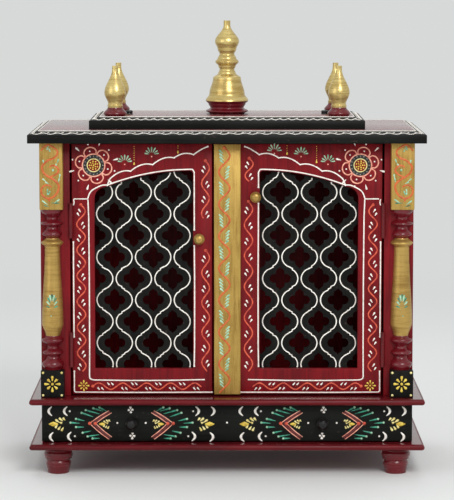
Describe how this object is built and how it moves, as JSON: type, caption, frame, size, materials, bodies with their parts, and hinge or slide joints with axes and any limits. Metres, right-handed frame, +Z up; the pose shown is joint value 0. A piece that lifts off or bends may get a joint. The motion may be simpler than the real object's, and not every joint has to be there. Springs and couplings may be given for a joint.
{
  "type": "wooden home temple",
  "caption": "Tabletop wooden home temple: a painted cabinet shrine on turned feet with two pierced doors, a long drawer, turned posts and a stepped roof with finials.",
  "frame": {"origin": "bottom centre of the temple, on the ground under its feet", "axes": "+Z up, -Y towards the doors at the front, +X to the viewer's right"},
  "size_m": [0.61, 0.305, 0.701],
  "materials": {
    "maroon_paint": "satin paint",
    "black_paint": "satin paint",
    "gold_paint": "metallic paint",
    "hinge_metal": "painted over"
  },
  "bodies": {
    "cabinet": {"foot_front_left": "maroon_paint", "foot_front_right": "maroon_paint", "foot_rear_left": "maroon_paint", "foot_rear_right": "maroon_paint", "bottom_plate": "maroon_paint", "base_side_left": "maroon_paint", "base_side_right": "maroon_paint", "base_back": "maroon_paint", "middle_plate": "maroon_paint", "side_panel_left": "maroon_paint", "side_panel_right": "maroon_paint", "back_panel": "maroon_paint", "front_stile_left": "maroon_paint", "front_stile_right": "maroon_paint", "post_left": "gold_paint", "post_right": "gold_paint", "stile_hinge_leaves_left": "hinge_metal", "stile_hinge_leaves_right": "hinge_metal", "roof_plate": "black_paint", "upper_roof_plate": "black_paint", "centre_finial": "gold_paint", "finial_front_left": "gold_paint", "finial_front_right": "gold_paint", "finial_rear_left": "gold_paint", "finial_rear_right": "gold_paint", "roof_button_left": "black_paint", "roof_button_right": "black_paint"},
    "left_door": {"door_board_left": "maroon_paint", "door_lattice_left": "black_paint", "door_knob_left": "gold_paint", "door_hinge_leaves_left": "hinge_metal"},
    "right_door": {"door_board_right": "maroon_paint", "door_lattice_right": "black_paint", "door_knob_right": "gold_paint", "door_hinge_leaves_right": "hinge_metal", "cover_strip": "gold_paint"},
    "drawer": {"drawer_front": "black_paint", "drawer_side_left": "maroon_paint", "drawer_side_right": "maroon_paint", "drawer_back": "maroon_paint", "drawer_bottom": "maroon_paint", "drawer_knob_left": "black_paint", "drawer_knob_right": "black_paint"}
  },
  "joints": [
    {"name": "left_door_hinge", "type": "hinge", "parent": "cabinet", "child": "left_door", "pos_m": [-0.241, -0.1205, 0.3], "axis": [0, 0, -1], "range_deg": [0, 110]},
    {"name": "right_door_hinge", "type": "hinge", "parent": "cabinet", "child": "right_door", "pos_m": [0.241, -0.1205, 0.3], "axis": [0, 0, 1], "range_deg": [0, 110]},
    {"name": "drawer_slide", "type": "slide", "parent": "cabinet", "child": "drawer", "axis": [0, -1, 0], "range_m": [0, 0.2]}
  ]
}
